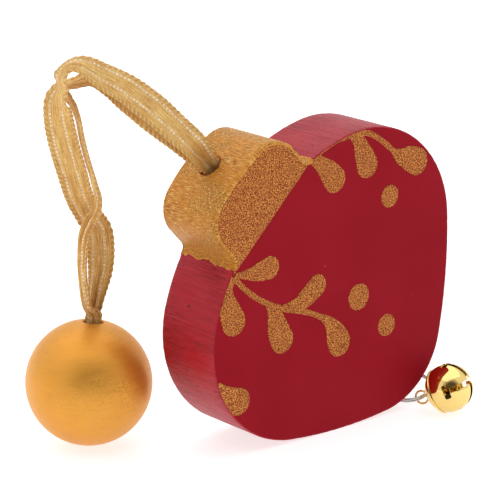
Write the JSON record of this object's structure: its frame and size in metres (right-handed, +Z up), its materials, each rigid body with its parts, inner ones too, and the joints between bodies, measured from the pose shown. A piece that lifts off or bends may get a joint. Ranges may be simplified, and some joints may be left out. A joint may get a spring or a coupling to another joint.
{
  "type": "christmas ornament",
  "caption": "Painted wooden cut-out ornament in a bell or bauble shape with a gilded crown, a ribbon that ends in a gilded wooden ball, and a jingle bell on a split ring.",
  "frame": {"origin": "on the floor, below the middle of the block, ball and bell together as they lie", "axes": "+Z up; the block stands on its long flank with its printed face towards -Y; the crown leans to -X and the jingle bell lies at +X"},
  "size_m": [0.0854, 0.0495, 0.0805],
  "materials": {
    "red_paint_wood": "satin paint over sawn wood",
    "gold_paint": "brushed gold paint film",
    "gold_print": "fine glitter screen print",
    "glue": "set clear glue",
    "gold_ribbon": "woven metallic ribbon",
    "gold_ball_wood": "satin gold paint over turned wood",
    "brass_wire": "bright wire",
    "steel_wire": "bright wire",
    "gold_bell": "polished gold plate",
    "pellet_steel": "dull steel"
  },
  "bodies": {
    "block": {"wood_block": "red_paint_wood", "crown_gilding": "gold_paint", "print_left_sprig": "gold_print", "print_right_sprig": "gold_print", "print_berries": "gold_print", "crown_glue_plug": "glue", "ribbon_outer_strand": "gold_ribbon", "ribbon_inner_strand": "gold_ribbon", "screw_eye": "brass_wire"},
    "ball": {"wood_ball": "gold_ball_wood", "ball_glue_plug": "glue"},
    "ring": {"split_ring": "steel_wire"},
    "bell": {"bell_loop": "brass_wire", "bell_cap": "gold_bell", "bell_slotted_shell": "gold_bell"},
    "pellet": {"bell_pellet": "pellet_steel"}
  },
  "joints": [
    {"name": "ball_turn", "type": "hinge", "parent": "block", "child": "ball", "pos_m": [-0.0296, 0.0124, 0.0125], "axis": [0.1045, 0, 0.9945], "range_deg": [-90, 90]},
    {"name": "ring_swing", "type": "hinge", "parent": "block", "child": "ring", "pos_m": [0.03706, -0.0055, 0.00394], "axis": [0.9277, -0.2638, 0.2642], "range_deg": [-4, 80]},
    {"name": "bell_swing", "type": "hinge", "parent": "ring", "child": "bell", "pos_m": [0.03526, -0.01387, 0.00189], "axis": [0.9277, -0.2638, 0.2642], "range_deg": [-10, 60]},
    {"name": "pellet_bounce", "type": "slide", "parent": "bell", "child": "pellet", "axis": [0, 0, 1], "range_m": [0, 0.005]}
  ]
}
